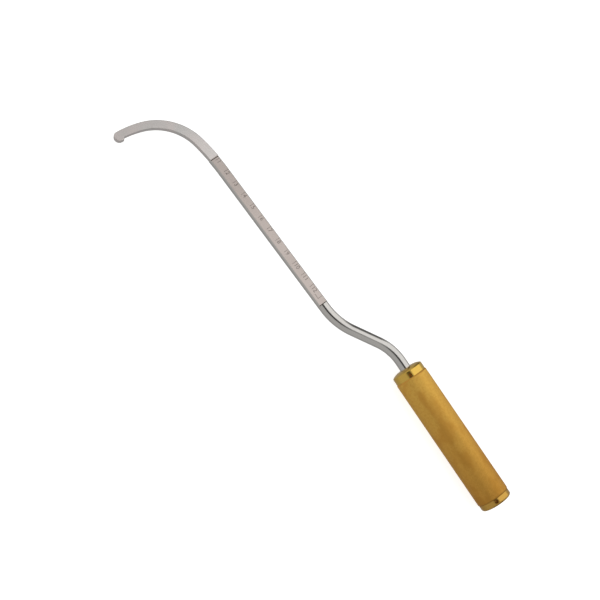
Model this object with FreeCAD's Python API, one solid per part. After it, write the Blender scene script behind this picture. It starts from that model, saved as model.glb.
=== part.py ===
import FreeCAD, Part
import math
import os

# Graduated hook tool for working in a beehive: one stainless steel bar, hooked at its tip,
# ground flat and graduated along its straight, cranked near the grip, and held in a knurled
# brass grip by two grub screws.
#
# Frame, in millimetres: the origin is the centre of the butt face, +X runs along the grip's
# axis towards the hook, the bar bends in the XY plane towards +Y, and the graduated face
# looks up, along +Z.

# Grip
GRIP_D = 24.0
GRIP_BORE_D = 18.0
SLEEVE_LENGTH = 100.6
SLEEVE_CHAMFER = 0.5
BAND_D = 23.2
CAP_BAND_LENGTH = 4.8
COLLAR_BAND_LENGTH = 4.6
SPIGOT_LENGTH = 12.0
SPIGOT_CLEARANCE = 0.05
BUTT_EDGE_RADIUS = 1.7
BUTT_WALL = 1.2

# The collar's crowned front: a small flat face, an arc that falls away from it, and a rim chamfer
CROWN_FACE_RADIUS = 5.0
CROWN_RADIUS = 12.0
CROWN_RIM_RADIUS = 11.3
CROWN_RIM_CHAMFER = 0.6

# Rubber rings in the spigots
RING_GROOVE_WIDTH = 2.2
RING_GROOVE_DEPTH = 1.5
RING_SECTION_D = 1.45
RING_SQUEEZE_GAP = 0.01

# Grub screws, M2.5 x 6 with a hexagon socket
SCREW_D = 2.4
SCREW_HOLE_D = 2.5
SCREW_LENGTH = 6.0
SCREW_END_CHAMFER = 0.3
SCREW_CUP_D = 1.2
SCREW_CUP_DEPTH = 0.35
SOCKET_ACROSS_FLATS = 1.3
SOCKET_DEPTH = 1.8
SCREW_TIP_GAP = 0.05
CAP_SCREW_X = 3.15
COLLAR_SCREW_INSET = 1.8
SCREW_TURN_DEG = 18.0

# Bar: the round shank and its centre line
ROD_D = 8.0
ROD_BORE_CLEARANCE = 0.05
TANG_END_GAP = 0.3
TANG_CHAMFER = 0.6
CRANK_START_X = 118.1
CRANK_FIRST_RADIUS = 37.0
CRANK_ANGLE_DEG = 32.2
CRANK_STRAIGHT = 20.4
CRANK_SECOND_RADIUS = 47.7
BLADE_ANGLE_DEG = 2.6
BLADE_STRAIGHT = 118.6

# Hook: three arcs that bend the same way, from gentle to tight to gentle
HOOK_LEAD_RADIUS = 183.0
HOOK_LEAD_END_DEG = 11.2
HOOK_BEND_RADIUS = 38.9
HOOK_BEND_END_DEG = 74.5
HOOK_TIP_RADIUS = 70.0
HOOK_TIP_END_DEG = 89.2
HOOK_THICKNESS = 4.6
HOOK_INNER_ROOT = 3.3
HOOK_INNER_END = 3.45
HOOK_OUTER_ROOT = 3.9
HOOK_OUTER_END = 2.35
HOOK_EDGE_RADIUS = 0.4
HOOK_ROOT_OVERLAP = 0.8
TOE_OUTER_RADIUS = 3.2
TOE_INNER_RADIUS = 4.1
TOE_LEDGE = 2.6
TOE_CORNER_RADIUS = 0.7
TOE_NOTCH_RADIUS = 0.5

# Graduated face, ground on the top of the round rod
FLAT_HEIGHT = 2.76
FLAT_LENGTH = 127.6
FLAT_START = 3.1
TICK_COUNT = 13
TICK_PITCH = 10.0
TICK_MARGIN = 2.4
TICK_WIDTH = 0.3
TICK_DEPTH = 0.15
TICK_REACH = 3.6
END_MARK_LENGTH = 4.1
RELIEF_WIDTH = 0.6
RELIEF_DEPTH = 0.4
RELIEF_LAND = 0.5

ORIGIN = FreeCAD.Vector(0, 0, 0)
X_AXIS = FreeCAD.Vector(1, 0, 0)
Z_AXIS = FreeCAD.Vector(0, 0, 1)
COLLAR_BACK_X = CAP_BAND_LENGTH + SLEEVE_LENGTH
COLLAR_RIM_X = COLLAR_BACK_X + COLLAR_BAND_LENGTH
COLLAR_SCREW_X = COLLAR_BACK_X + COLLAR_SCREW_INSET
TANG_START_X = BUTT_WALL + TANG_END_GAP


def x_cylinder(diameter, start_x, length):
    """A solid cylinder on the grip's axis."""
    return Part.makeCylinder(diameter / 2, length, FreeCAD.Vector(start_x, 0, 0), X_AXIS)


def x_cone(start_diameter, end_diameter, start_x, length):
    """A solid cone on the grip's axis, for chamfers and countersinks."""
    return Part.makeCone(start_diameter / 2, end_diameter / 2, length,
                         FreeCAD.Vector(start_x, 0, 0), X_AXIS)


def profile_edges(profile):
    """Straight edges through the (x, radius) points of a turned part's outline."""
    points = [FreeCAD.Vector(x, radius, 0) for x, radius in profile]
    return [Part.LineSegment(start, end).toShape() for start, end in zip(points, points[1:])]


def turned(edges):
    """A solid turned about the grip's axis from the edges of its closed outline."""
    return Part.Face(Part.Wire(edges)).revolve(ORIGIN, X_AXIS, 360)


class Station:
    """A place on the bar's centre line: a point in the XY plane and a heading in radians."""

    def __init__(self, x, y, heading):
        self.x = x
        self.y = y
        self.heading = heading

    def point(self, left=0.0, ahead=0.0):
        """The point this far to the left of the centre line, and this far ahead."""
        cosine = math.cos(self.heading)
        sine = math.sin(self.heading)
        return FreeCAD.Vector(self.x + ahead * cosine - left * sine,
                              self.y + ahead * sine + left * cosine, 0)

    def straight(self, length):
        """The station at the end of a straight run."""
        end = self.point(ahead=length)
        return Station(end.x, end.y, self.heading)

    def arc(self, radius, turn):
        """The station at the end of an arc that turns left, or right if turn is negative."""
        side = math.copysign(radius, turn)
        centre = self.point(left=side)
        heading = self.heading + turn
        return Station(centre.x + side * math.sin(heading),
                       centre.y - side * math.cos(heading), heading)


def line_edge(start, end):
    """A straight edge of the centre line."""
    return Part.LineSegment(start.point(), end.point()).toShape()


def arc_edge(start, radius, turn):
    """An arc that starts at a station and turns left, or right if turn is negative."""
    middle = start.arc(radius, turn / 2)
    end = start.arc(radius, turn)
    return Part.Arc(start.point(), middle.point(), end.point()).toShape()


# Stations of the bar, from the tang to the hook
CRANK_TURN = math.radians(CRANK_ANGLE_DEG)
BLADE_HEADING = math.radians(BLADE_ANGLE_DEG)
TANG_END = Station(TANG_START_X, 0, 0)
CRANK_START = Station(CRANK_START_X, 0, 0)
CRANK_MIDDLE = CRANK_START.arc(CRANK_FIRST_RADIUS, CRANK_TURN)
CRANK_SECOND = CRANK_MIDDLE.straight(CRANK_STRAIGHT)
BLADE_START = CRANK_SECOND.arc(CRANK_SECOND_RADIUS, BLADE_HEADING - CRANK_TURN)
BLADE_END = BLADE_START.straight(BLADE_STRAIGHT)
ROD_TO_HOOK = FLAT_START + FLAT_LENGTH - BLADE_STRAIGHT
HOOK_ROOT_TURN = ROD_TO_HOOK / HOOK_LEAD_RADIUS
HOOK_ROOT = BLADE_END.arc(HOOK_LEAD_RADIUS, HOOK_ROOT_TURN)


def hook_start():
    """The hook's first station, a little way back inside the end of the rod."""
    return BLADE_END.arc(HOOK_LEAD_RADIUS, HOOK_ROOT_TURN - HOOK_ROOT_OVERLAP / HOOK_LEAD_RADIUS)


def hook_arcs():
    """The radius and turn of each arc of the hook's centre line."""
    arcs = []
    heading = hook_start().heading
    for radius, end_deg in ((HOOK_LEAD_RADIUS, HOOK_LEAD_END_DEG),
                            (HOOK_BEND_RADIUS, HOOK_BEND_END_DEG),
                            (HOOK_TIP_RADIUS, HOOK_TIP_END_DEG)):
        arcs.append((radius, math.radians(end_deg) - heading))
        heading = math.radians(end_deg)
    return arcs


def make_shank():
    """The round rod: tang, crank and the round underside of the graduated run."""
    path = Part.Wire([line_edge(TANG_END, CRANK_START),
                      arc_edge(CRANK_START, CRANK_FIRST_RADIUS, CRANK_TURN),
                      line_edge(CRANK_MIDDLE, CRANK_SECOND),
                      arc_edge(CRANK_SECOND, CRANK_SECOND_RADIUS, BLADE_HEADING - CRANK_TURN),
                      line_edge(BLADE_START, BLADE_END),
                      arc_edge(BLADE_END, HOOK_LEAD_RADIUS, HOOK_ROOT_TURN)])
    section = Part.Wire(Part.makeCircle(ROD_D / 2, TANG_END.point(), X_AXIS))
    rod = path.makePipeShell([section], True, False)
    chamfer = x_cylinder(ROD_D * 1.5, TANG_START_X, TANG_CHAMFER)
    chamfer = chamfer.cut(x_cone(ROD_D - 2 * TANG_CHAMFER, ROD_D, TANG_START_X, TANG_CHAMFER))
    return rod.cut(chamfer)


def blade_box(start, length, right, width, bottom, height):
    """A box laid along the blade: start is measured from the blade's first station."""
    box = Part.makeBox(length, width, height)
    box.translate(FreeCAD.Vector(start, right, bottom))
    box.rotate(ORIGIN, Z_AXIS, BLADE_ANGLE_DEG)
    box.translate(BLADE_START.point())
    return box


def grind_flat(rod):
    """The rod with the graduated face ground on its top."""
    return rod.cut(blade_box(FLAT_START, FLAT_LENGTH + ROD_D, -ROD_D, 2 * ROD_D, FLAT_HEIGHT, ROD_D))


def tick_cutters():
    """The graduation lines, from the face's right edge, and the corner mark at its end."""
    cutters = []
    half_chord = math.sqrt((ROD_D / 2) ** 2 - FLAT_HEIGHT ** 2)
    bottom = FLAT_HEIGHT - TICK_DEPTH
    last = FLAT_START + FLAT_LENGTH - TICK_MARGIN - TICK_WIDTH / 2
    for index in range(TICK_COUNT):
        place = last - index * TICK_PITCH
        cutters.append(blade_box(place, TICK_WIDTH, -half_chord, TICK_REACH, bottom, ROD_D))
    cutters.append(blade_box(place, END_MARK_LENGTH, TICK_REACH - half_chord, TICK_WIDTH, bottom, ROD_D))
    return cutters


def relief_cutters():
    """The narrow grooves right across the graduated face, one near each of its ends."""
    bottom = FLAT_HEIGHT - RELIEF_DEPTH
    front = FLAT_START + FLAT_LENGTH - RELIEF_LAND - RELIEF_WIDTH
    return [blade_box(place, RELIEF_WIDTH, -ROD_D, 2 * ROD_D, bottom, ROD_D)
            for place in (FLAT_START, front)]


def hook_side(side, trim):
    """One long side of the hook, as its first and last stations and the arcs between them.

    The side is 1 on the left, inside the bend, and -1 on the right. Its last arc stops short
    by the trim, and both sides lean in a little, so that the hook tapers.
    """
    arcs = hook_arcs()
    root, end = (HOOK_INNER_ROOT, HOOK_INNER_END) if side == 1 else (HOOK_OUTER_ROOT, HOOK_OUTER_END)
    taper = (root - end) / sum(radius * turn for radius, turn in arcs)
    mean_offset = side * (root + end) / 2
    start = hook_start()
    corner = start.point(left=side * root)
    first = Station(corner.x, corner.y, start.heading - side * taper)
    last = first
    edges = []
    for index, (radius, turn) in enumerate(arcs):
        side_radius = radius - mean_offset
        if index == len(arcs) - 1:
            turn -= trim / side_radius
        edges.append(arc_edge(last, side_radius, turn))
        last = last.arc(side_radius, turn)
    return first, last, edges


def upright_edge_near(solid, point):
    """The upright edge of a plate that stands at a point of the XY plane."""
    def distance(edge):
        ends = [vertex.Point for vertex in edge.Vertexes]
        if len(ends) != 2 or abs(ends[0].z - ends[1].z) < HOOK_THICKNESS / 2:
            return math.inf
        return math.hypot(ends[0].x - point.x, ends[0].y - point.y)
    return min(solid.Edges, key=distance)


def make_hook():
    """The flat curved hook, with its round toe that steps in towards the grip."""
    inner_first, inner_last, inner_edges = hook_side(1, TOE_LEDGE)
    outer_first, outer_last, outer_edges = hook_side(-1, 0)
    toe_top = outer_last.arc(TOE_OUTER_RADIUS, math.pi / 2)
    toe_centre = toe_top.point(left=TOE_INNER_RADIUS)
    notch = inner_last.point()
    ledge_rise = inner_last.point(left=1) - notch
    to_centre = toe_centre - notch
    along = to_centre.dot(ledge_rise)
    reach = math.sqrt(TOE_INNER_RADIUS ** 2 - to_centre.dot(to_centre) + along ** 2)
    beak = notch + ledge_rise * (along + reach)
    toe_side = toe_top.arc(TOE_INNER_RADIUS, math.pi / 2)
    outline = [Part.LineSegment(inner_first.point(), outer_first.point()).toShape()]
    outline += outer_edges
    outline.append(arc_edge(outer_last, TOE_OUTER_RADIUS, math.pi / 2))
    outline.append(Part.Arc(toe_top.point(), toe_side.point(), beak).toShape())
    outline.append(Part.LineSegment(beak, notch).toShape())
    outline += inner_edges
    hook = Part.Face(Part.Wire(Part.__sortEdges__(outline)))
    hook = hook.extrude(FreeCAD.Vector(0, 0, HOOK_THICKNESS))
    hook.translate(FreeCAD.Vector(0, 0, -HOOK_THICKNESS / 2))
    hook = hook.makeFillet(TOE_NOTCH_RADIUS, [upright_edge_near(hook, notch)])
    return hook.makeFillet(TOE_CORNER_RADIUS, [upright_edge_near(hook, beak)])


def round_hook_edges(hook):
    """The hook with its upper and lower edges eased."""
    flat_edges = []
    for edge in hook.Edges:
        heights = [abs(vertex.Point.z) for vertex in edge.Vertexes]
        level = abs(edge.Vertexes[0].Point.z - edge.Vertexes[-1].Point.z) < 0.01
        if level and min(heights) > HOOK_THICKNESS / 2 - 0.01:
            flat_edges.append(edge)
    return hook.makeFillet(HOOK_EDGE_RADIUS, flat_edges)


def make_tool_bar():
    """The whole steel bar, in one piece."""
    bar = grind_flat(make_shank())
    for cutter in tick_cutters() + relief_cutters():
        bar = bar.cut(cutter)
    return bar.fuse(round_hook_edges(make_hook()))


def screw_axis():
    """The direction in which both grub screws point out of the grip."""
    turn = math.radians(SCREW_TURN_DEG)
    return FreeCAD.Vector(0, math.sin(turn), math.cos(turn))


def screw_cylinder(diameter, x, start, length):
    """A cylinder on a grub screw's axis: start is its distance from the grip's axis."""
    return Part.makeCylinder(diameter / 2, length, FreeCAD.Vector(x, 0, 0) + screw_axis() * start,
                             screw_axis())


def spigot_profile(shoulder_x, direction):
    """The outline of a spigot with its ring groove, from the shoulder to the spigot's end."""
    radius = GRIP_BORE_D / 2 - SPIGOT_CLEARANCE
    groove_near = shoulder_x + direction * (SPIGOT_LENGTH - RING_GROOVE_WIDTH) / 2
    groove_far = groove_near + direction * RING_GROOVE_WIDTH
    floor = GRIP_BORE_D / 2 - RING_GROOVE_DEPTH
    return [(shoulder_x, radius), (groove_near, radius), (groove_near, floor), (groove_far, floor),
            (groove_far, radius), (shoulder_x + direction * SPIGOT_LENGTH, radius)]


def make_front_collar():
    """The brass collar that the shank passes through, with its tapped hole."""
    bore = ROD_D / 2 + ROD_BORE_CLEARANCE
    band = BAND_D / 2
    spigot_end = COLLAR_BACK_X - SPIGOT_LENGTH
    rim = FreeCAD.Vector(COLLAR_RIM_X + CROWN_RIM_CHAMFER, CROWN_RIM_RADIUS, 0)
    centre_x = rim.x - math.sqrt(CROWN_RADIUS ** 2 - (CROWN_RIM_RADIUS - CROWN_FACE_RADIUS) ** 2)
    half_angle = math.asin((CROWN_RIM_RADIUS - CROWN_FACE_RADIUS) / CROWN_RADIUS) / 2
    middle = FreeCAD.Vector(centre_x + CROWN_RADIUS * math.cos(half_angle),
                            CROWN_FACE_RADIUS + CROWN_RADIUS * math.sin(half_angle), 0)
    face_x = centre_x + CROWN_RADIUS
    face_edge = FreeCAD.Vector(face_x, CROWN_FACE_RADIUS, 0)
    edges = profile_edges([(spigot_end, bore), (face_x, bore), (face_x, CROWN_FACE_RADIUS)])
    edges.append(Part.Arc(face_edge, middle, rim).toShape())
    back = [(rim.x, rim.y), (COLLAR_RIM_X, band), (COLLAR_BACK_X, band)]
    back += spigot_profile(COLLAR_BACK_X, -1)
    back.append((spigot_end, bore))
    edges += profile_edges(back)
    return turned(edges).cut(screw_cylinder(SCREW_HOLE_D, COLLAR_SCREW_X, 0, BAND_D))


def make_end_cap():
    """The brass cap at the butt, with a blind bore for the tang's end and its tapped hole."""
    bore = ROD_D / 2 + ROD_BORE_CLEARANCE
    band = x_cylinder(BAND_D, 0, CAP_BAND_LENGTH)
    butt_edges = [edge for edge in band.Edges if edge.BoundBox.XMax < CAP_BAND_LENGTH / 2]
    band = band.makeFillet(BUTT_EDGE_RADIUS, butt_edges)
    spigot_end = CAP_BAND_LENGTH + SPIGOT_LENGTH
    profile = [(CAP_BAND_LENGTH, bore)] + spigot_profile(CAP_BAND_LENGTH, 1)
    profile += [(spigot_end, bore), (CAP_BAND_LENGTH, bore)]
    cap = band.fuse(turned(profile_edges(profile)))
    cap = cap.cut(x_cylinder(2 * bore, BUTT_WALL, spigot_end))
    return cap.cut(screw_cylinder(SCREW_HOLE_D, CAP_SCREW_X, 0, BAND_D))


def make_grip_sleeve():
    """The knurled brass tube, at the height of the knurl's crests."""
    outer = GRIP_D / 2
    bore = GRIP_BORE_D / 2
    start_x = CAP_BAND_LENGTH
    end_x = COLLAR_BACK_X
    profile = [(start_x, bore), (start_x, outer - SLEEVE_CHAMFER), (start_x + SLEEVE_CHAMFER, outer),
               (end_x - SLEEVE_CHAMFER, outer), (end_x, outer - SLEEVE_CHAMFER), (end_x, bore),
               (start_x, bore)]
    return turned(profile_edges(profile))


def make_seal_ring(shoulder_x, direction):
    """A rubber ring in the groove of a spigot."""
    groove_floor = GRIP_BORE_D / 2 - RING_GROOVE_DEPTH
    centre_x = shoulder_x + direction * SPIGOT_LENGTH / 2
    centre_radius = groove_floor + RING_SQUEEZE_GAP + RING_SECTION_D / 2
    return Part.makeTorus(centre_radius, RING_SECTION_D / 2, FreeCAD.Vector(centre_x, 0, 0), X_AXIS)


def make_grub_screw(x):
    """A grub screw that bears on the tang, with its socket facing out of the grip."""
    start = ROD_D / 2 + SCREW_TIP_GAP
    screw = screw_cylinder(SCREW_D, x, start, SCREW_LENGTH)
    ends = [edge for edge in screw.Edges if isinstance(edge.Curve, Part.Circle)]
    screw = screw.makeChamfer(SCREW_END_CHAMFER, ends)
    axis = screw_axis()
    tip = FreeCAD.Vector(x, 0, 0) + axis * start
    cup = Part.makeCone(SCREW_CUP_D / 2, 0, SCREW_CUP_DEPTH, tip, axis)
    head = FreeCAD.Vector(x, 0, 0) + axis * (start + SCREW_LENGTH)
    corner_radius = SOCKET_ACROSS_FLATS / math.sqrt(3)
    across = axis.cross(X_AXIS)
    corners = []
    for index in range(6):
        angle = math.radians(60 * index)
        corners.append(head + (X_AXIS * math.cos(angle) + across * math.sin(angle)) * corner_radius)
    socket = Part.Face(Part.makePolygon(corners + corners[:1])).extrude(axis * -SOCKET_DEPTH)
    return screw.cut(cup).cut(socket)


PARTS = {
    "tool_bar": make_tool_bar(),
    "front_collar": make_front_collar(),
    "front_seal_ring": make_seal_ring(COLLAR_BACK_X, -1),
    "collar_grub_screw": make_grub_screw(COLLAR_SCREW_X),
    "grip_sleeve": make_grip_sleeve(),
    "end_cap": make_end_cap(),
    "rear_seal_ring": make_seal_ring(CAP_BAND_LENGTH, 1),
    "cap_grub_screw": make_grub_screw(CAP_SCREW_X),
}

os.makedirs("parts", exist_ok=True)
for name, shape in PARTS.items():
    shape.exportStep(os.path.join("parts", name + ".step"))
    box = shape.BoundBox
    print(name, "valid" if shape.isValid() else "NOT VALID", "solids", len(shape.Solids),
          "volume", round(shape.Volume, 1), "x", round(box.XMin, 2), round(box.XMax, 2),
          "y", round(box.YMin, 2), round(box.YMax, 2), "z", round(box.ZMin, 2), round(box.ZMax, 2))
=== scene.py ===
import math

import bmesh
import bpy
from mathutils import Matrix, Vector


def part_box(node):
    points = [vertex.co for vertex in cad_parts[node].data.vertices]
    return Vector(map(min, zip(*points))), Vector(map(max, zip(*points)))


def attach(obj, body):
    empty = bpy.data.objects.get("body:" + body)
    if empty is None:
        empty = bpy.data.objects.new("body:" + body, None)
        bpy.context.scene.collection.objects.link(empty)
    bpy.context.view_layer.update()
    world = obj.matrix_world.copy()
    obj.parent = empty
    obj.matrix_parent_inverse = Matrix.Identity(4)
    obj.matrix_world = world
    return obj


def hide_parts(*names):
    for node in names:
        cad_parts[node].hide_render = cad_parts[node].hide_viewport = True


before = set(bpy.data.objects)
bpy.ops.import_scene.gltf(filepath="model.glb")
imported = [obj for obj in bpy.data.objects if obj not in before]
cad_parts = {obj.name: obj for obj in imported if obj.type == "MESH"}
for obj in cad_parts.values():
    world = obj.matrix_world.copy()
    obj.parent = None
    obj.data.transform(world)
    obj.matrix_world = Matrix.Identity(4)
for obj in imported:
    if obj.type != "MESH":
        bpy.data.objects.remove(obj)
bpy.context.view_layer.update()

MM = 0.001

# ---------------------------------------------------------------- sizes, in metres
# The frame gives the grip's places; the bar's own centre line is the one it was bent along.
ROD_RADIUS = 4.0 * MM
ROD_SIDES = 96
TANG_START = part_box("tool_bar")[0].x
TANG_CHAMFER = 0.6 * MM
FLAT_HEIGHT = 2.76 * MM
FLAT_HALF_WIDTH = math.sqrt(ROD_RADIUS ** 2 - FLAT_HEIGHT ** 2)
CRANK_START = 118.1 * MM
CRANK_FIRST_RADIUS = 37.0 * MM
CRANK_TURN = math.radians(32.2)
CRANK_STRAIGHT = 20.4 * MM
CRANK_SECOND_RADIUS = 47.7 * MM
BLADE_HEADING = math.radians(2.6)
BLADE_STRAIGHT = 118.6 * MM
FLAT_START = 3.1 * MM
FLAT_LENGTH = 127.6 * MM
HOOK_RADII = (183.0 * MM, 38.9 * MM, 70.0 * MM)
HOOK_HEADINGS = (math.radians(11.2), math.radians(74.5), math.radians(89.2))
HOOK_THICKNESS = 4.6 * MM
HOOK_INNER_WIDTHS = (3.3 * MM, 3.45 * MM)
HOOK_OUTER_WIDTHS = (3.9 * MM, 2.35 * MM)
HOOK_ROOT_OVERLAP = 0.8 * MM
HOOK_EDGE_RADIUS = 0.4 * MM
HOOK_EDGE_SEGMENTS = 4
HOOK_EDGE_ANGLE = math.radians(60)
TOE_OUTER_RADIUS = 3.2 * MM
TOE_INNER_RADIUS = 4.1 * MM
TOE_LEDGE = 2.6 * MM
TOE_CORNER_RADIUS = 0.7 * MM
TOE_CORNER_STEPS = 8
TOE_NOTCH_RADIUS = 0.5 * MM
TOE_NOTCH_STEPS = 6
BEND_SPACING = 0.8 * MM
SHORTEST_EDGE = 0.06 * MM

TICK_COUNT = 13
TICK_PITCH = 10.0 * MM
TICK_MARGIN = 2.4 * MM
TICK_WIDTH = 0.3 * MM
TICK_REACH = 3.6 * MM
ENGRAVING_DEPTH = 0.15 * MM
END_MARK_LENGTH = 4.1 * MM
FIGURE_HEIGHT = 3.0 * MM
FIGURE_GAP = 0.9 * MM
FIGURE_MARGIN = 0.4 * MM
FIGURE_WELD = 0.002 * MM
CAPITAL_SHARE = 0.7
RELIEF_WIDTH = 0.6 * MM
RELIEF_DEPTH = 0.4 * MM
RELIEF_LAND = 0.5 * MM
CUT_OVERLAP = 0.02 * MM
WELD_DISTANCE = 0.0005 * MM
SMOOTH_UP_TO = math.radians(28)

SLEEVE_LOW, SLEEVE_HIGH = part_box("grip_sleeve")
GRIP_RADIUS = SLEEVE_HIGH.z
SLEEVE_BORE_RADIUS = 9.0 * MM
SLEEVE_CHAMFER = 0.5 * MM
KNURL_COLUMNS = 84
KNURL_ROWS = 66
KNURL_DEPTH = 0.09 * MM

STREAK_COLOUR = (0.5, 0.49, 0.47)
FINE_BUMP = 0.02 * MM

FLOOR_HALF = 3.0
FLOOR_GLOW = 0.74
ROOM_RADIANCE = 0.49
ROOM_DARKEST = 0.1
KEY_RADIANCE = 0.49
KEY_AIM = Vector((-0.25, 0.0, 0.0))
KEY_DISTANCE = 3.0
KEY_ELEVATION = math.radians(45)
KEY_HALF_SPREAD = math.radians(43)
KEY_SIZE = (2.7, 2 * KEY_DISTANCE * math.tan(KEY_HALF_SPREAD))

# The room's darker directions. Each edge says where a shade starts and where it is full.
OBSERVER_DIRECTION = (-0.05, 0.30, 0.95)
OBSERVER_EDGE = (math.cos(math.radians(22)), math.cos(math.radians(9)))
BUTT_END_EDGE = (0.80, 0.95)
HORIZON_EDGE = (-0.35, 0.0)
FAR_SIDE_EDGE = (0.3, 0.7)
HOOK_END_EDGE = (0.22, 0.36)
END_SHADE = 0.85
BELOW_EDGE = (0.1, 0.7)
BELOW_SHADE = 0.25

CAMERA_PLACE = Vector((0.15712, 0.25038, 0.69444))
CAMERA_TARGET = Vector((0.19276, 0.03574, 0.0))
CAMERA_UP = Vector((0.8266, -0.5243, 0.2045))
CAMERA_LENS = 63.0
CAMERA_SENSOR = 36.0


# ---------------------------------------------------------------- small helpers
def new_piece(name, mesh, body, *replaced, slot=None):
    """Adds a mesh as a piece that rides on a body and stands for some CAD nodes."""
    piece = bpy.data.objects.new(name, mesh)
    bpy.context.scene.collection.objects.link(piece)
    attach(piece, body)
    if replaced:
        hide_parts(*replaced)
    return piece


def loose_object(name, mesh):
    """Adds a mesh that is only used while another is made."""
    thing = bpy.data.objects.new(name, mesh)
    bpy.context.scene.collection.objects.link(thing)
    return thing


def mesh_of(work, name):
    """Turns a bmesh into a new mesh, and frees it."""
    mesh = bpy.data.meshes.new(name)
    work.to_mesh(mesh)
    work.free()
    return mesh


def face_outwards(mesh):
    """Makes every face of a mesh face outwards."""
    work = bmesh.new()
    work.from_mesh(mesh)
    bmesh.ops.recalc_face_normals(work, faces=work.faces)
    work.to_mesh(mesh)
    work.free()


def mesh_from(name, verts, faces):
    """A mesh from its points and faces, with its faces facing outwards."""
    mesh = bpy.data.meshes.new(name)
    mesh.from_pydata([tuple(v) for v in verts], [], faces)
    face_outwards(mesh)
    return mesh


def apply_modifiers(thing):
    """Replaces an object's mesh by the result of its modifiers."""
    bpy.context.view_layer.update()
    graph = bpy.context.evaluated_depsgraph_get()
    mesh = bpy.data.meshes.new_from_object(thing.evaluated_get(graph))
    thing.modifiers.clear()
    thing.data = mesh
    return thing


def combine(thing, other, operation):
    """Applies an exact boolean with another object, which is then deleted."""
    modifier = thing.modifiers.new("combine", "BOOLEAN")
    modifier.operation = operation
    modifier.solver = "EXACT"
    modifier.material_mode = "TRANSFER"
    modifier.object = other
    apply_modifiers(thing)
    bpy.data.objects.remove(other)
    return thing


def weld(thing):
    """Joins the points that a boolean leaves on top of each other."""
    work = bmesh.new()
    work.from_mesh(thing.data)
    bmesh.ops.remove_doubles(work, verts=work.verts, dist=WELD_DISTANCE)
    work.to_mesh(thing.data)
    work.free()


def paint(thing, material):
    """Gives every face of an object one material."""
    thing.data.materials.clear()
    thing.data.materials.append(material)


def smooth_keeping_flats(thing):
    """Smooth shading that keeps large flat faces flat and sharp edges sharp."""
    mesh = thing.data
    mesh.polygons.foreach_set("use_smooth", [True] * len(mesh.polygons))
    mesh.set_sharp_from_angle(angle=SMOOTH_UP_TO)
    weighted = thing.modifiers.new("weighted", "WEIGHTED_NORMAL")
    weighted.keep_sharp = True
    weighted.weight = 100
    apply_modifiers(thing)


# ---------------------------------------------------------------- the bar's centre line
class Station:
    """A place on the bar's centre line: a point in the XY plane and a heading."""

    def __init__(self, x, y, heading):
        self.x = x
        self.y = y
        self.heading = heading

    def point(self, left=0.0, ahead=0.0, up=0.0):
        cosine = math.cos(self.heading)
        sine = math.sin(self.heading)
        return Vector((self.x + ahead * cosine - left * sine,
                       self.y + ahead * sine + left * cosine, up))

    def straight(self, length):
        end = self.point(ahead=length)
        return Station(end.x, end.y, self.heading)

    def arc(self, radius, turn):
        side = math.copysign(radius, turn)
        centre = self.point(left=side)
        heading = self.heading + turn
        return Station(centre.x + side * math.sin(heading),
                       centre.y - side * math.cos(heading), heading)


def stations_along(start, runs):
    """Stations along runs, each a straight's length or an arc's (radius, turn)."""
    stations = [start]
    for run in runs:
        base = stations[-1]
        if isinstance(run, tuple):
            radius, turn = run
            steps = max(2, math.ceil(abs(radius * turn) / BEND_SPACING))
            stations += [base.arc(radius, turn * k / steps) for k in range(1, steps + 1)]
        else:
            stations.append(base.straight(run))
    return stations


HOOK_ROOT_TURN = (FLAT_START + FLAT_LENGTH - BLADE_STRAIGHT) / HOOK_RADII[0]
TANG_END = Station(TANG_START, 0.0, 0.0)
ROD_RUNS = [CRANK_START - TANG_START, (CRANK_FIRST_RADIUS, CRANK_TURN), CRANK_STRAIGHT,
            (CRANK_SECOND_RADIUS, BLADE_HEADING - CRANK_TURN), FLAT_START]
BLADE_RUNS = [BLADE_STRAIGHT - FLAT_START, (HOOK_RADII[0], HOOK_ROOT_TURN)]
ROD_STATIONS = stations_along(TANG_END, ROD_RUNS)
BLADE_STATIONS = stations_along(ROD_STATIONS[-1], BLADE_RUNS)
BLADE_START = ROD_STATIONS[-1].straight(-FLAT_START)


# ---------------------------------------------------------------- the bar's mesh
def round_section():
    """Points of the round rod's section, as (left, up), starting at the top."""
    angles = [2 * math.pi * k / ROD_SIDES for k in range(ROD_SIDES)]
    return [(ROD_RADIUS * math.sin(a), ROD_RADIUS * math.cos(a)) for a in angles]


def ground_section():
    """The same points with the top ground flat, and one point exactly on each of its edges."""
    section = [(left, min(up, FLAT_HEIGHT)) for left, up in round_section()]
    edge = round(math.acos(FLAT_HEIGHT / ROD_RADIUS) / (2 * math.pi) * ROD_SIDES)
    section[edge] = (FLAT_HALF_WIDTH, FLAT_HEIGHT)
    section[-edge] = (-FLAT_HALF_WIDTH, FLAT_HEIGHT)
    return section


def loft(stations, sections):
    """A closed tube through one section per station, with flat ends."""
    count = len(sections[0])
    verts = []
    for station, section in zip(stations, sections):
        verts += [station.point(left=left, up=up) for left, up in section]
    faces = []
    for ring in range(len(stations) - 1):
        base = ring * count
        for k in range(count):
            after = (k + 1) % count
            faces.append((base + k, base + after, base + count + after, base + count + k))
    last = (len(stations) - 1) * count
    faces.append(tuple(range(count)))
    faces.append(tuple(range(last + count - 1, last - 1, -1)))
    return verts, faces


def shank_and_blade():
    """The round rod with its step down to the graduated flat, as one closed mesh."""
    rounded = round_section()
    shrink = 1 - TANG_CHAMFER / ROD_RADIUS
    small = [(left * shrink, up * shrink) for left, up in rounded]
    stations = [TANG_END, TANG_END.straight(TANG_CHAMFER)] + ROD_STATIONS[1:] + BLADE_STATIONS
    sections = [small] + [rounded] * len(ROD_STATIONS) + [ground_section()] * len(BLADE_STATIONS)
    verts, faces = loft(stations, sections)
    return loose_object("bar_blank", mesh_from("bar_blank", verts, faces))


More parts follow.
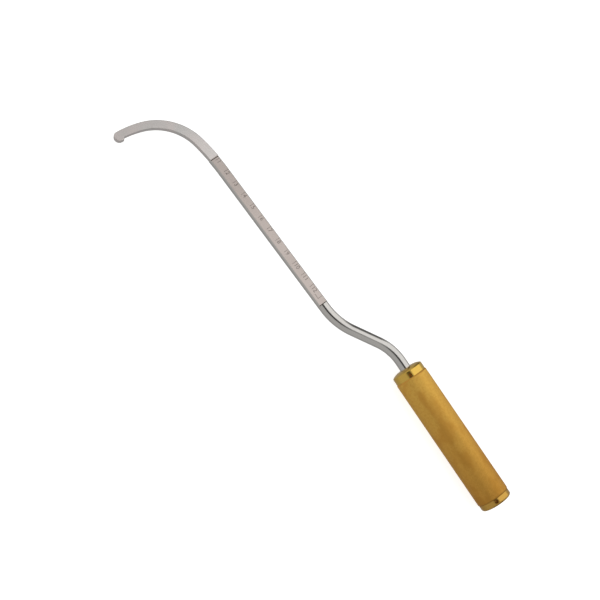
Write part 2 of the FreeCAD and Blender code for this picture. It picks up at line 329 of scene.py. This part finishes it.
def hook_turns(start):
    """How far each arc of the hook's centre line turns, from a heading at its root."""
    turns = []
    for end in HOOK_HEADINGS:
        turns.append(end - start)
        start = end
    return turns


def hook_side(side, trim):
    """Stations along one long side of the hook: 1 is inside the bend, -1 is outside."""
    root_width, end_width = HOOK_INNER_WIDTHS if side == 1 else HOOK_OUTER_WIDTHS
    root = BLADE_START.straight(BLADE_STRAIGHT).arc(
        HOOK_RADII[0], HOOK_ROOT_TURN - HOOK_ROOT_OVERLAP / HOOK_RADII[0])
    turns = hook_turns(root.heading)
    length = sum(radius * turn for radius, turn in zip(HOOK_RADII, turns))
    taper = (root_width - end_width) / length
    corner = root.point(left=side * root_width)
    first = Station(corner.x, corner.y, root.heading - side * taper)
    runs = [(radius - side * (root_width + end_width) / 2, turn)
            for radius, turn in zip(HOOK_RADII, turns)]
    last_radius, last_turn = runs[-1]
    runs[-1] = (last_radius, last_turn - trim / last_radius)
    return stations_along(first, runs)


def without_short_edges(points):
    """Drops each point that is almost on the one before it, which would spoil the bevel."""
    kept = points[:1]
    for point in points[1:]:
        if (point - kept[-1]).length > SHORTEST_EDGE:
            kept.append(point)
    return kept


def rounded_corner(before, corner, after):
    """Points of a curve from one point to another, which starts and ends towards a corner."""
    points = []
    for k in range(1, TOE_CORNER_STEPS + 1):
        t = k / TOE_CORNER_STEPS
        points.append(before * (1 - t) ** 2 + corner * 2 * t * (1 - t) + after * t ** 2)
    return points


def notch_fillet(notch, out, back):
    """Points of the small fillet in the toe's notch, from its ledge to the hook's inside."""
    centre = notch + (out + back) * TOE_NOTCH_RADIUS
    points = []
    for k in range(TOE_NOTCH_STEPS + 1):
        angle = math.pi / 2 * k / TOE_NOTCH_STEPS
        points.append(centre - back * TOE_NOTCH_RADIUS * math.cos(angle)
                      - out * TOE_NOTCH_RADIUS * math.sin(angle))
    return points


def hook_outline():
    """The hook seen from above: up the outside, round the toe and back down the inside."""
    outer = hook_side(-1, 0.0)
    inner = hook_side(1, TOE_LEDGE + TOE_NOTCH_RADIUS)
    crown = stations_along(outer[-1], [(TOE_OUTER_RADIUS, math.pi / 2)])
    centre = crown[-1].point(left=TOE_INNER_RADIUS)
    step = hook_side(1, TOE_LEDGE)[-1]
    notch = step.point()
    out = step.point(left=1.0) - notch
    back = step.point(ahead=-1.0) - notch
    along = (centre - notch).dot(out)
    reach = along + math.sqrt(TOE_INNER_RADIUS ** 2 - (centre - notch).length_squared + along ** 2)
    beak = notch + out * reach
    rise = (beak - centre).dot(back)
    sweep = math.pi / 2 + math.asin(rise / TOE_INNER_RADIUS) - TOE_CORNER_RADIUS / TOE_INNER_RADIUS
    side = stations_along(crown[-1], [(TOE_INNER_RADIUS, sweep)])
    points = [station.point() for station in outer + crown[1:] + side[1:]]
    points += rounded_corner(points[-1], beak, beak - out * TOE_CORNER_RADIUS)
    points += notch_fillet(notch, out, back)
    points += [station.point() for station in reversed(inner[:-1])]
    return without_short_edges(points)


def hook_solid():
    """The flat hook with its edges eased."""
    outline = hook_outline()
    count = len(outline)
    half = Vector((0, 0, HOOK_THICKNESS / 2))
    verts = [p - half for p in outline] + [p + half for p in outline]
    faces = [(k, (k + 1) % count, count + (k + 1) % count, count + k) for k in range(count)]
    faces.append(tuple(range(count - 1, -1, -1)))
    faces.append(tuple(range(count, 2 * count)))
    hook = loose_object("hook_blank", mesh_from("hook_blank", verts, faces))
    bevel = hook.modifiers.new("ease", "BEVEL")
    bevel.width = HOOK_EDGE_RADIUS
    bevel.segments = HOOK_EDGE_SEGMENTS
    bevel.limit_method = "ANGLE"
    bevel.angle_limit = HOOK_EDGE_ANGLE
    return apply_modifiers(hook)


def blade_frame(start, left, up):
    """A matrix at a place on the blade: X runs towards the hook and Z out of the flat."""
    place = BLADE_START.point(left=left, ahead=start, up=up)
    return Matrix.Translation(place) @ Matrix.Rotation(BLADE_HEADING, 4, "Z")


def box_cutter(start, length, side, width, depth=ENGRAVING_DEPTH):
    """A box that cuts a line into the flat, from a place along it and across it."""
    bottom = FLAT_HEIGHT - depth
    work = bmesh.new()
    bmesh.ops.create_cube(work, size=1.0)
    bmesh.ops.scale(work, vec=(length, width, ROD_RADIUS), verts=work.verts)
    place = blade_frame(start + length / 2, side + width / 2, bottom + ROD_RADIUS / 2)
    bmesh.ops.transform(work, matrix=place, verts=work.verts)
    return mesh_of(work, "line_cutter")


def figure_cutter(text, start, top):
    """A cutter for one number, upright when the grip is on the right."""
    curve = bpy.data.curves.new("figure", "FONT")
    curve.body = text
    curve.size = FIGURE_HEIGHT / CAPITAL_SHARE
    curve.align_x = "LEFT"
    curve.extrude = ENGRAVING_DEPTH * 2
    curve.resolution_u = 3
    figure = bpy.data.objects.new("figure", curve)
    bpy.context.scene.collection.objects.link(figure)
    bpy.context.view_layer.update()
    graph = bpy.context.evaluated_depsgraph_get()
    mesh = bpy.data.meshes.new_from_object(figure.evaluated_get(graph))
    bpy.data.objects.remove(figure)
    turned = Matrix.Rotation(math.pi, 4, "Z")
    place = blade_frame(start, top, FLAT_HEIGHT + ENGRAVING_DEPTH)
    work = bmesh.new()
    work.from_mesh(mesh)
    bmesh.ops.remove_doubles(work, verts=work.verts, dist=FIGURE_WELD)
    bmesh.ops.transform(work, matrix=place @ turned, verts=work.verts)
    work.to_mesh(mesh)
    work.free()
    return mesh


def engraving_cutter():
    """All the lines and figures of the scale, as one cutter."""
    first = FLAT_START + FLAT_LENGTH - TICK_MARGIN - TICK_WIDTH / 2
    places = [first - index * TICK_PITCH for index in range(TICK_COUNT)]
    work = bmesh.new()
    for index, place in enumerate(places):
        work.from_mesh(box_cutter(place, TICK_WIDTH, -FLAT_HALF_WIDTH, TICK_REACH))
        if index < TICK_COUNT - 1:
            top = FIGURE_HEIGHT + FIGURE_MARGIN - FLAT_HALF_WIDTH
            work.from_mesh(figure_cutter(str(index + 1), place - FIGURE_GAP, top))
    engraving = loose_object("engraving", mesh_of(work, "engraving"))
    end_mark = box_cutter(places[-1], END_MARK_LENGTH, TICK_REACH - FLAT_HALF_WIDTH, TICK_WIDTH)
    return combine(engraving, loose_object("end_mark", end_mark), "UNION")


def relief_cutter():
    """The narrow grooves right across the flat, one near each of its ends."""
    front = FLAT_START + FLAT_LENGTH - RELIEF_LAND - RELIEF_WIDTH
    work = bmesh.new()
    side = -1.5 * ROD_RADIUS
    for start in (FLAT_START - CUT_OVERLAP, front):
        work.from_mesh(box_cutter(start, RELIEF_WIDTH, side, -2 * side, RELIEF_DEPTH))
    return loose_object("relief", mesh_of(work, "relief"))


def wrap_along_bar(mesh):
    """Gives the bar a map: u is the distance along its centre line, v is across it."""
    line = ROD_STATIONS + BLADE_STATIONS[1:]
    hook_root = BLADE_START.straight(BLADE_STRAIGHT).arc(HOOK_RADII[0], HOOK_ROOT_TURN)
    hook_runs = list(zip(HOOK_RADII, hook_turns(hook_root.heading))) + [TOE_INNER_RADIUS]
    line += stations_along(hook_root, hook_runs)[1:]
    travelled = [0.0]
    for a, b in zip(line, line[1:]):
        travelled.append(travelled[-1] + (b.point() - a.point()).length)
    wrap = mesh.uv_layers.new(name="along")
    places = {}
    for vertex in mesh.vertices:
        flat = Vector((vertex.co.x, vertex.co.y, 0))
        nearest = min(range(len(line)), key=lambda k: (line[k].point() - flat).length_squared)
        station = line[nearest]
        offset = flat - station.point()
        forward = station.point(ahead=1.0) - station.point()
        sideways = station.point(left=1.0) - station.point()
        places[vertex.index] = (travelled[nearest] + offset.dot(forward), offset.dot(sideways))
    for loop in mesh.loops:
        wrap.data[loop.index].uv = places[loop.vertex_index]


def colour_flat(mesh, material):
    """Gives the ground flat its own material."""
    mesh.materials.append(material)
    for face in mesh.polygons:
        if face.normal.z > 0.99 and abs(face.center.z - FLAT_HEIGHT) < 0.01 * MM:
            face.material_index = len(mesh.materials) - 1


def make_bar(drawn, ground, forged, engraved, painted_groove_shade):
    """The whole steel bar: rod, graduated flat, hook and toe in one closed mesh."""
    bar = shank_and_blade()
    paint(bar, drawn)
    relief = relief_cutter()
    # The relief grooves are painted dark, as shade inside them.
    paint(relief, painted_groove_shade)
    combine(bar, relief, "DIFFERENCE")
    hook = hook_solid()
    paint(hook, forged)
    combine(bar, hook, "UNION")
    engraving = engraving_cutter()
    paint(engraving, engraved)
    combine(bar, engraving, "DIFFERENCE")
    weld(bar)
    smooth_keeping_flats(bar)
    mesh = bar.data
    colour_flat(mesh, ground)
    bpy.data.objects.remove(bar)
    wrap_along_bar(mesh)
    return new_piece("steel_bar", mesh, "bar", "tool_bar", slot="bar_steel")


# ---------------------------------------------------------------- the knurled sleeve
def knurl_radius(row, column, x):
    """The sleeve's outside: crests and hollows alternate, and a chamfer trims both ends."""
    crest = (row + column) % 2 == 0
    radius = GRIP_RADIUS if crest else GRIP_RADIUS - KNURL_DEPTH
    edge = min(x - SLEEVE_LOW.x, SLEEVE_HIGH.x - x)
    return min(radius, GRIP_RADIUS - SLEEVE_CHAMFER + edge)


def ring_points(x, radii):
    """A ring of points round the grip's axis, with a radius for each."""
    angles = [2 * math.pi * k / len(radii) for k in range(len(radii))]
    return [(x, radius * math.cos(a), radius * math.sin(a)) for radius, a in zip(radii, angles)]


def knurl_faces(rows, columns):
    """The facets of the knurl: each cell is split from hollow to hollow."""
    faces = []
    for row in range(rows):
        for column in range(columns):
            after = (column + 1) % columns
            a, b = row * columns + column, row * columns + after
            c, d = a + columns, b + columns
            if (row + column) % 2 == 0:
                faces += [(a, b, c), (b, d, c)]
            else:
                faces += [(a, b, d), (a, d, c)]
    return faces


def bore_faces(rows, columns):
    """The sleeve's two end faces and its bore."""
    faces = []
    last_row = rows * columns
    first_bore = last_row + columns
    for column in range(columns):
        after = (column + 1) % columns
        near, near_after = first_bore + column, first_bore + after
        far, far_after = near + columns, near_after + columns
        faces.append((column, near, near_after, after))
        faces.append((last_row + column, last_row + after, far_after, far))
        faces.append((near, far, far_after, near_after))
    return faces


def make_sleeve(brass):
    """The knurled tube: every diamond of the knurl is four facets of real mesh."""
    columns = 2 * KNURL_COLUMNS
    rows = 2 * KNURL_ROWS
    length = SLEEVE_HIGH.x - SLEEVE_LOW.x
    verts = []
    heights = []
    for row in range(rows + 1):
        x = SLEEVE_LOW.x + length * row / rows
        radii = [knurl_radius(row, column, x) for column in range(columns)]
        verts += ring_points(x, radii)
        heights += [(radius - GRIP_RADIUS) / KNURL_DEPTH + 1 for radius in radii]
    for x in (SLEEVE_LOW.x, SLEEVE_HIGH.x):
        verts += ring_points(x, [SLEEVE_BORE_RADIUS] * columns)
        heights += [0.0] * columns
    faces = knurl_faces(rows, columns) + bore_faces(rows, columns)
    mesh = mesh_from("knurled_sleeve", verts, faces)
    # The crest height, 1 on the crests and 0 in the hollows, later sets the painted shade in the
    # hollows.
    attribute = mesh.attributes.new("crest", "FLOAT", "POINT")
    attribute.data.foreach_set("value", heights)
    mesh.materials.append(brass)
    return new_piece("knurled_sleeve", mesh, "handle", "grip_sleeve", slot="knurled_brass")


# ---------------------------------------------------------------- materials
class Shader:
    """A node material, with short ways to add and join its nodes."""

    def __init__(self, name, metallic=1.0):
        self.material = bpy.data.materials.new(name)
        self.material.use_nodes = True
        self.tree = self.material.node_tree
        self.surface = self.tree.nodes["Principled BSDF"]
        self.surface.inputs["Metallic"].default_value = metallic

    def node(self, kind, **settings):
        node = self.tree.nodes.new(kind)
        for key, value in settings.items():
            setattr(node, key, value)
        return node

    def join(self, output, target):
        self.tree.links.new(output, target)

    def noise(self, vector, scale, detail):
        node = self.node("ShaderNodeTexNoise")
        node.inputs["Scale"].default_value = scale
        node.inputs["Detail"].default_value = detail
        self.join(vector, node.inputs["Vector"])
        return node.outputs["Fac"]

    def stretched(self, output, scale):
        node = self.node("ShaderNodeMapping")
        node.inputs["Scale"].default_value = scale
        self.join(output, node.inputs["Vector"])
        return node.outputs["Vector"]

    def ramp(self, output, *stops):
        node = self.node("ShaderNodeValToRGB")
        elements = node.color_ramp.elements
        while len(elements) < len(stops):
            elements.new(0.5)
        for element, (place, colour) in zip(elements, stops):
            element.position = place
            element.color = (*colour, 1.0)
        self.join(output, node.inputs["Fac"])
        return node.outputs["Color"]

    def ranged(self, output, low, high, start=0.0, end=1.0):
        node = self.node("ShaderNodeMapRange")
        node.inputs["From Min"].default_value = start
        node.inputs["From Max"].default_value = end
        node.inputs["To Min"].default_value = low
        node.inputs["To Max"].default_value = high
        self.join(output, node.inputs["Value"])
        return node.outputs["Result"]

    def mixed(self, share, first, second):
        node = self.node("ShaderNodeMix", data_type="RGBA")
        self.join(share, node.inputs["Factor"])
        for socket, value in ((node.inputs[6], first), (node.inputs[7], second)):
            if isinstance(value, tuple):
                socket.default_value = (*value, 1.0)
            else:
                self.join(value, socket)
        return node.outputs[2]

    def bump(self, height, strength):
        node = self.node("ShaderNodeBump")
        node.inputs["Strength"].default_value = strength
        node.inputs["Distance"].default_value = FINE_BUMP
        self.join(height, node.inputs["Height"])
        self.join(node.outputs["Normal"], self.surface.inputs["Normal"])


def steel_material(name, light, dark, grain_contrast, roughness):
    """Satin stainless steel between two shades, with a fine grain along the bar."""
    shader = Shader(name)
    wrap = shader.node("ShaderNodeUVMap", uv_map="along").outputs["UV"]
    grain = shader.noise(shader.stretched(wrap, (150.0, 9000.0, 1.0)), 1.0, 3.0)
    place = shader.node("ShaderNodeTexCoord").outputs["Object"]
    clouds = shader.noise(place, 55.0, 2.0)
    tint = shader.ramp(clouds, (0.35, dark), (0.65, light))
    streaks = shader.ranged(grain, 0.0, grain_contrast, 0.3, 0.7)
    shader.join(shader.mixed(streaks, tint, STREAK_COLOUR), shader.surface.inputs["Base Color"])
    shader.join(shader.ranged(grain, roughness - 0.05, roughness + 0.05, 0.3, 0.7),
                shader.surface.inputs["Roughness"])
    shader.bump(grain, grain_contrast / 2)
    return shader.material


def dirt_and_shade_material(name, dark, light):
    """The bottom of a line or groove cut into the bar, dulled and darkened: by dirt in the scale's
    lines and figures, and as painted shade in the relief grooves.
    """
    shader = Shader(name)
    shader.surface.inputs["Roughness"].default_value = 0.6
    place = shader.node("ShaderNodeTexCoord").outputs["Object"]
    mottle = shader.noise(place, 1400.0, 3.0)
    shader.join(shader.ramp(mottle, (0.3, dark), (0.7, light)),
                shader.surface.inputs["Base Color"])
    return shader.material


def darker_towards_butt(shader, place, fresh, browned):
    """A brass colour that grows darker and browner from the collar back to the butt."""
    split = shader.node("ShaderNodeSeparateXYZ")
    shader.join(place, split.inputs["Vector"])
    share = shader.ranged(split.outputs["X"], 0.0, 1.0, 0.0, SLEEVE_HIGH.x)
    return shader.mixed(share, browned, fresh)


def knurled_brass_material():
    """Brass on the knurl: its crests are lighter, as wear, and its hollows darker and browner, as
    painted shade.
    """
    shader = Shader("knurled_brass")
    crest = shader.node("ShaderNodeAttribute", attribute_name="crest").outputs["Fac"]
    place = shader.node("ShaderNodeTexCoord").outputs["Object"]
    clouds = shader.noise(shader.stretched(place, (0.6, 1.0, 1.0)), 95.0, 4.0)
    specks = shader.noise(place, 620.0, 2.0)
    tops = darker_towards_butt(shader, place, (1.0, 0.71, 0.15), (0.90, 0.465, 0.085))
    # Painted shade: the hollows get a darker, browner brass than the crests.
    hollows = darker_towards_butt(shader, place, (0.90, 0.49, 0.10), (0.56, 0.285, 0.05))
    brown = (0.66, 0.29, 0.035)
    clouded = shader.mixed(shader.ranged(clouds, 0.0, 0.7, 0.48, 0.6), tops, brown)
    worn = shader.mixed(shader.ranged(specks, 0.0, 0.4, 0.45, 0.65), clouded, brown)
    # The crest height blends from the painted hollow shade up to the worn crests.
    shader.join(shader.mixed(shader.ranged(crest, 0.0, 1.0, 0.1, 0.7), hollows, worn),
                shader.surface.inputs["Base Color"])
    shader.join(shader.ranged(crest, 0.55, 0.4), shader.surface.inputs["Roughness"])
    return shader.material


def turned_brass_material():
    """Polished brass with the fine rings that a lathe tool leaves."""
    shader = Shader("turned_brass")
    place = shader.node("ShaderNodeTexCoord").outputs["Object"]
    split = shader.node("ShaderNodeSeparateXYZ")
    shader.join(place, split.inputs["Vector"])
    rim = shader.node("ShaderNodeCombineXYZ")
    shader.join(split.outputs["Y"], rim.inputs["X"])
    shader.join(split.outputs["Z"], rim.inputs["Y"])
    length = shader.node("ShaderNodeVectorMath", operation="LENGTH")
    shader.join(rim.outputs["Vector"], length.inputs[0])
    rings = shader.node("ShaderNodeCombineXYZ")
    shader.join(length.outputs["Value"], rings.inputs["X"])
    shader.join(split.outputs["X"], rings.inputs["Y"])
    marks = shader.noise(rings.outputs["Vector"], 5200.0, 2.0)
    clouds = shader.noise(place, 160.0, 3.0)
    metal = darker_towards_butt(shader, place, (0.88, 0.565, 0.115), (0.66, 0.38, 0.08))
    tint = shader.mixed(shader.ranged(clouds, 0.0, 0.2, 0.3, 0.7), metal, (0.6, 0.38, 0.1))
    shader.join(tint, shader.surface.inputs["Base Color"])
    shader.join(shader.ranged(marks, 0.14, 0.26, 0.3, 0.7), shader.surface.inputs["Roughness"])
    shader.bump(marks, 0.15)
    return shader.material


def screw_material():
    """Dull brass for the grub screws, browned by dirt."""
    shader = Shader("screw_brass")
    place = shader.node("ShaderNodeTexCoord").outputs["Object"]
    wear = shader.noise(place, 900.0, 3.0)
    shader.join(shader.ramp(wear, (0.4, (0.66, 0.35, 0.07)), (0.8, (0.9, 0.52, 0.13))),
                shader.surface.inputs["Base Color"])
    shader.join(shader.ranged(wear, 0.35, 0.55), shader.surface.inputs["Roughness"])
    return shader.material


def rubber_material():
    """Black rubber for the rings inside the grip."""
    shader = Shader("ring_rubber", metallic=0.0)
    place = shader.node("ShaderNodeTexCoord").outputs["Object"]
    dust = shader.noise(place, 700.0, 3.0)
    shader.join(shader.ramp(dust, (0.3, (0.012, 0.012, 0.012)), (0.8, (0.045, 0.043, 0.04))),
                shader.surface.inputs["Base Color"])
    shader.surface.inputs["Roughness"].default_value = 0.7
    return shader.material


def assign(node, material):
    """Gives a CAD node a better material."""
    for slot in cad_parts[node].material_slots:
        slot.material = material


def close_empty_edges(node):
    """Joins the two ends of any edge without length, which leaves every normal as it is."""
    weld_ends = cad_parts[node].modifiers.new("weld_ends", "WELD")
    weld_ends.mode = "CONNECTED"
    weld_ends.merge_threshold = WELD_DISTANCE


# ---------------------------------------------------------------- stage, light and camera
def make_floor():
    """A large pale floor that the grip lies on."""
    corners = ((-1, -1), (1, -1), (1, 1), (-1, 1))
    verts = [(x * FLOOR_HALF, y * FLOOR_HALF, -GRIP_RADIUS) for x, y in corners]
    mesh = mesh_from("floor", verts, [(0, 1, 2, 3)])
    floor = loose_object("floor", mesh)
    shader = Shader("pale_floor", metallic=0.0)
    shader.surface.inputs["Base Color"].default_value = (0.93, 0.93, 0.93, 1.0)
    shader.surface.inputs["Roughness"].default_value = 0.9
    shader.surface.inputs["Emission Color"].default_value = (1.0, 1.0, 1.0, 1.0)
    shader.surface.inputs["Emission Strength"].default_value = FLOOR_GLOW
    mesh.materials.append(shader.material)
    floor.visible_glossy = False


def make_key_light():
    """One large soft light, high on the far side of the tool."""
    light = bpy.data.lights.new("key", "AREA")
    light.shape = "RECTANGLE"
    light.size, light.size_y = KEY_SIZE
    light.energy = KEY_RADIANCE * math.pi * light.size * light.size_y
    lamp = bpy.data.objects.new("key", light)
    outwards = Vector((0.0, -math.cos(KEY_ELEVATION), math.sin(KEY_ELEVATION)))
    lamp.location = KEY_AIM + outwards * KEY_DISTANCE
    lamp.rotation_euler = (-outwards).to_track_quat("-Z", "Y").to_euler()
    lamp.visible_camera = False
    bpy.context.scene.collection.objects.link(lamp)


def smooth_step(tree, value, low, high):
    """A node that rises smoothly from 0 to 1 as its input goes from low to high."""
    node = tree.nodes.new("ShaderNodeMapRange")
    node.interpolation_type = "SMOOTHSTEP"
    node.inputs["From Min"].default_value = low
    node.inputs["From Max"].default_value = high
    tree.links.new(value, node.inputs["Value"])
    return node.outputs["Result"]


def combine_values(tree, operation, first, second):
    """A math node on two outputs or numbers."""
    node = tree.nodes.new("ShaderNodeMath")
    node.operation = operation
    for socket, value in zip(node.inputs, (first, second)):
        if isinstance(value, float):
            socket.default_value = value
        else:
            tree.links.new(value, socket)
    return node.outputs["Value"]


def room_shade(tree):
    """How dark the room is in each direction: 0 is its plain grey, 1 is its darkest."""
    direction = tree.nodes.new("ShaderNodeTexCoord").outputs["Generated"]
    split = tree.nodes.new("ShaderNodeSeparateXYZ")
    tree.links.new(direction, split.inputs["Vector"])
    towards = tree.nodes.new("ShaderNodeVectorMath")
    towards.operation = "DOT_PRODUCT"
    towards.inputs[1].default_value = OBSERVER_DIRECTION
    tree.links.new(direction, towards.inputs[0])
    to_butt = combine_values(tree, "MULTIPLY", split.outputs["X"], -1.0)
    to_far_side = combine_values(tree, "MULTIPLY", split.outputs["Y"], -1.0)
    downwards = combine_values(tree, "MULTIPLY", split.outputs["Z"], -1.0)
    observer = smooth_step(tree, towards.outputs["Value"], *OBSERVER_EDGE)
    butt_end = combine_values(tree, "MULTIPLY", smooth_step(tree, to_butt, *BUTT_END_EDGE),
                              smooth_step(tree, split.outputs["Z"], *HORIZON_EDGE))
    far_corner = combine_values(tree, "MULTIPLY", smooth_step(tree, to_far_side, *FAR_SIDE_EDGE),
                                smooth_step(tree, split.outputs["X"], *HOOK_END_EDGE))
    ends = combine_values(tree, "MAXIMUM", butt_end, far_corner)
    end_shade = combine_values(tree, "MULTIPLY", ends, END_SHADE)
    below = smooth_step(tree, downwards, *BELOW_EDGE)
    below_shade = combine_values(tree, "MULTIPLY", below, BELOW_SHADE)
    dim = combine_values(tree, "MAXIMUM", end_shade, below_shade)
    return combine_values(tree, "MAXIMUM", observer, dim)


def make_room():
    """A plain grey room whose ends are darker, with a dark place where the observer stands."""
    world = bpy.data.worlds.new("studio")
    bpy.context.scene.world = world
    world.use_nodes = True
    tree = world.node_tree
    lost = combine_values(tree, "MULTIPLY", room_shade(tree), ROOM_RADIANCE * (1 - ROOM_DARKEST))
    strength = combine_values(tree, "SUBTRACT", ROOM_RADIANCE, lost)
    tree.links.new(strength, tree.nodes["Background"].inputs["Strength"])
    tree.nodes["Background"].inputs["Color"].default_value = (1.0, 1.0, 1.0, 1.0)


def make_camera():
    """The camera looks down at the tool from the side that the hook bends to."""
    back = (CAMERA_PLACE - CAMERA_TARGET).normalized()
    right = CAMERA_UP.cross(back).normalized()
    over = back.cross(right)
    turned = Matrix((right, over, back)).transposed().to_4x4()
    camera = bpy.data.objects.new("camera", bpy.data.cameras.new("camera"))
    camera.data.lens = CAMERA_LENS
    camera.data.sensor_width = CAMERA_SENSOR
    camera.matrix_world = Matrix.Translation(CAMERA_PLACE) @ turned
    bpy.context.scene.collection.objects.link(camera)
    bpy.context.scene.camera = camera
    bpy.context.scene.view_settings.view_transform = "Standard"


make_bar(steel_material("drawn_steel", (0.72, 0.69, 0.65), (0.69, 0.67, 0.64), 0.22, 0.14),
         steel_material("ground_steel", (0.60, 0.52, 0.48), (0.54, 0.465, 0.425), 0.2, 0.24),
         steel_material("forged_steel", (0.83, 0.755, 0.725), (0.75, 0.725, 0.70), 0.06, 0.22),
         dirt_and_shade_material("engraved_steel", (0.38, 0.325, 0.295), (0.50, 0.445, 0.41)),
         # The relief grooves' colour is painted shade.
         dirt_and_shade_material("painted_shade_groove", (0.13, 0.105, 0.09), (0.22, 0.19, 0.165)))
make_sleeve(knurled_brass_material())
turned_brass = turned_brass_material()
assign("front_collar", turned_brass)
assign("end_cap", turned_brass)
screw_brass = screw_material()
for screw in ("collar_grub_screw", "cap_grub_screw"):
    assign(screw, screw_brass)
    close_empty_edges(screw)
rubber = rubber_material()
assign("front_seal_ring", rubber)
assign("rear_seal_ring", rubber)
make_floor()
make_room()
make_key_light()
make_camera()
